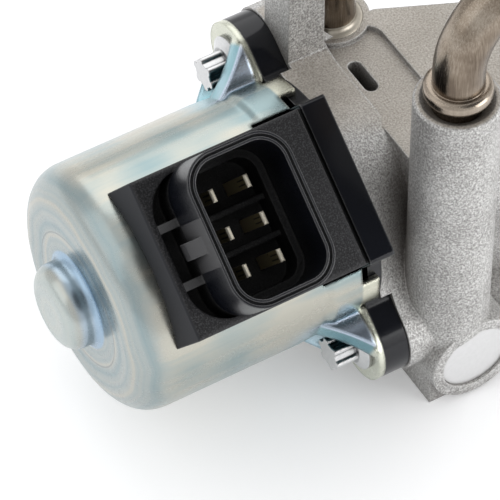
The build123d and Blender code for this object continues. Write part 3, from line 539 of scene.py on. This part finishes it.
# Painted highlight: grey lines along the eased edges of the smooth skins, outside the hollows.
edge_highlight = edge_mask(eased) * smooth * (1.0 - recess_shade)
matte = grain.ramp(*MATTE_STOPS)
skin = smooth.mix(matte, GLOSS_BLACK)
skin = lit_rib_top.mix(skin, RIB_TOP_LIGHT_GREY)
skin = lit_latch.mix(skin, LATCH_LIGHT_GREY)
skin = (edge_highlight * 0.8).mix(skin, EDGE_HIGHLIGHT_GREY)
sheen = glossy * 0.40 + shroud * (0.28 - lit_latch * 0.20)
feed(shader, Base_Color=(recess_shade * 0.95).mix(skin, RECESS_SHADE_BLACK))
feed(shader, Roughness=0.50 + grain * 0.15 + end * 0.12 - sheen)
feed(shader, Normal=bump(grain * (1.0 - smooth), BODY_GRAIN_DEPTH, eased))
dress(moulding, "connector_body")


# Terminals
# Six flat brass blades, tinned to a dull straw colour, with a highlight painted on their tips.
# Each has two fine coined lines on its face, near the tip.
PIN_EASE = 0.00012
PIN_FINE = 0.0005
PIN_ROW = 0.0068
TIP_U = (0.0353, 0.0357)
LINE_V = (0.00032, 0.00052)
LINE_SOFT = 0.00006
LINE_U = (0.0318, 0.0351)
LINE_END_SOFT = 0.0001
LINE_DEPTH = 0.00012
PIN_DULL = (0.25, 0.21, 0.11)
PIN_PALE = (0.37, 0.32, 0.19)
PIN_COINED = (0.03, 0.027, 0.018)
PIN_TIP_HIGHLIGHT = (1.0, 0.93, 0.77)
blade, shader, place = finish("tinned_brass", {"Metallic": 0.5})
eased = rounded(place, PIN_EASE)
_, u, v = motor_axes(place)
fine = place.noise(PIN_FINE, detail=3.0)
row = (v + 1.5 * PIN_ROW).math("MODULO", PIN_ROW) - PIN_ROW / 2
groove = abs(row).band(*LINE_V, LINE_SOFT) * u.band(*LINE_U, LINE_END_SOFT)
# Painted highlight: the tips are painted near white.
tip_highlight = u.step(*TIP_U)
body = fine.mix(PIN_DULL, PIN_PALE)
coined = (groove * 0.9).mix(body, PIN_COINED)
feed(shader, Base_Color=tip_highlight.mix(coined, PIN_TIP_HIGHLIGHT))
feed(shader, Roughness=0.22 + fine * 0.2)
feed(shader, Normal=bump(1.0 - groove, LINE_DEPTH, eased))
dress(blade, "terminal_pins")


# Flange bolts
# Six-lobe bolts with a washer flange, bright zinc plated.
# Painted shade darkens the corners between the lobes and over the washer.
BOLT_EASE = 0.0004
BOLT_FINE = 0.0007
LOBE_REACH = 0.0035
LOBE_RANGE = (0.35, 0.9)
BOLT_DULL = (0.50, 0.51, 0.52)
BOLT_BRIGHT = (0.68, 0.68, 0.675)
BOLT_CORNER_SHADE = (0.05, 0.05, 0.055)
bright, shader, place = finish("bright_zinc", {"Metallic": 1.0})
eased = rounded(place, BOLT_EASE)
fine = place.noise(BOLT_FINE, detail=3.0)
# Painted shade: corners hidden within a reach are darkened.
corner_shade = 1.0 - open_sky(place, LOBE_REACH).step(*LOBE_RANGE)
plated = fine.mix(BOLT_DULL, BOLT_BRIGHT)
feed(shader, Base_Color=(corner_shade * 0.8).mix(plated, BOLT_CORNER_SHADE))
feed(shader, Roughness=0.14 + fine * 0.14)
feed(shader, Normal=eased)
dress(bright, "flange_bolts")


# Studio
# Pale floor at the base face, with a faint glow that only seen rays get, dimmed beside the valve as a
# painted shadow.
# Soft boxes stand behind and beside the valve, and mirror-like faces see an unlit side over the camera.
FLOOR_HALF = 1.5
FLOOR_COLOUR = (0.88, 0.885, 0.90, 1.0)
SHADE_REACH = 0.06
SHADED_GLOW = 0.16
OPEN_GLOW = 0.44


def seen_directly(field):
    """1 for rays from the camera or off a mirror-like or clear surface, 0 for light that is on its way."""
    kinds = ("Camera", "Glossy", "Transmission")
    camera, glossy, clear = [field.node("ShaderNodeLightPath", output=f"Is {kind} Ray") for kind in kinds]
    return camera.either(glossy).either(clear)


floor_mesh = bpy.data.meshes.new("floor")
corners = np.array([(-1, -1, 0), (1, -1, 0), (1, 1, 0), (-1, 1, 0)]) * FLOOR_HALF
floor_mesh.from_pydata(corners.tolist(), [], [(0, 1, 2, 3)])
floor = bpy.data.objects.new("floor", floor_mesh)
bpy.context.scene.collection.objects.link(floor)
paper_sockets = {"Base Color": FLOOR_COLOUR, "Roughness": 0.9, "Emission Strength": 1.0}
paper, shader, place = finish("pale_paper", paper_sockets)
# Painted shadow: the glow drops towards SHADED_GLOW where the valve hides the floor.
glow_with_painted_shadow = SHADED_GLOW + open_sky(place, SHADE_REACH) * OPEN_GLOW
feed(shader, Emission_Color=seen_directly(place) * glow_with_painted_shadow)
floor_mesh.materials.append(paper)


def softbox(name, place, aim, size, power):
    """Square area lamp at a place, facing a point, with its side in metres and its power in watts."""
    lamp = bpy.data.lights.new(name, "AREA")
    lamp.size = size
    lamp.energy = power
    obj = bpy.data.objects.new(name, lamp)
    obj.location = place
    obj.rotation_euler = (Vector(aim) - Vector(place)).to_track_quat("-Z", "Y").to_euler()
    bpy.context.scene.collection.objects.link(obj)


LAMP_AIM = (-0.04, 0.0, 0.03)
softbox("back_box", (0.20, 0.55, 0.70), LAMP_AIM, size=0.95, power=2.4)
softbox("left_box", (-0.75, 0.15, 0.55), LAMP_AIM, size=0.80, power=1.0)
softbox("right_box", (0.48, -0.62, 0.24), LAMP_AIM, size=0.50, power=3.2)

SKY_LIGHT = 0.45
SEEN_LIGHT = 0.45
UNLIT_SIDE = (0.26, -0.59, 0.765)
UNLIT_RANGE = (0.80, 0.96)
UNLIT_SHARE = 0.9
world = bpy.context.scene.world or bpy.data.worlds.new("studio")
bpy.context.scene.world = world
world.use_nodes = True
sky = Field(world.node_tree)
heading = sky.node("ShaderNodeTexCoord", output="Generated")
unlit = heading.dot(UNLIT_SIDE).step(*UNLIT_RANGE)
camera_ray = sky.node("ShaderNodeLightPath", output="Is Camera Ray")
seen = seen_directly(sky)
level = SKY_LIGHT + seen * SEEN_LIGHT
level = camera_ray.either(level * (1.0 - unlit * seen * UNLIT_SHARE))
backdrop = world.node_tree.nodes["Background"]
backdrop.inputs["Color"].default_value = (1.0, 1.0, 1.0, 1.0)
world.node_tree.links.new(level.socket, backdrop.inputs["Strength"])

AZIMUTH = radians(-30.83)
ELEVATION = radians(49.69)
DISTANCE = 0.744
FRAME_PIXELS = 500
FOCAL_PIXELS = 4234.0
AIM_PIXEL = (294.75, 201.57)
SENSOR = 36.0
aim = Vector((SEAT_X, 0.0, AXIS_Z))
right = Vector((cos(AZIMUTH), sin(AZIMUTH), 0.0))
back = Vector((sin(AZIMUTH) * cos(ELEVATION), -cos(AZIMUTH) * cos(ELEVATION), sin(ELEVATION)))
up = back.cross(right)
aside = (AIM_PIXEL[0] - FRAME_PIXELS / 2) / FOCAL_PIXELS * DISTANCE
above = (FRAME_PIXELS / 2 - AIM_PIXEL[1]) / FOCAL_PIXELS * DISTANCE
eye = aim + back * DISTANCE - right * aside - up * above
lens = bpy.data.cameras.new("camera")
lens.sensor_width = SENSOR
lens.lens = FOCAL_PIXELS / FRAME_PIXELS * SENSOR
lens.clip_start = 0.01
camera = bpy.data.objects.new("camera", lens)
camera.matrix_world = Matrix.Translation(eye) @ Matrix((right, up, back)).transposed().to_4x4()
bpy.context.scene.collection.objects.link(camera)
bpy.context.scene.camera = camera
bpy.context.scene.view_settings.view_transform = "Standard"
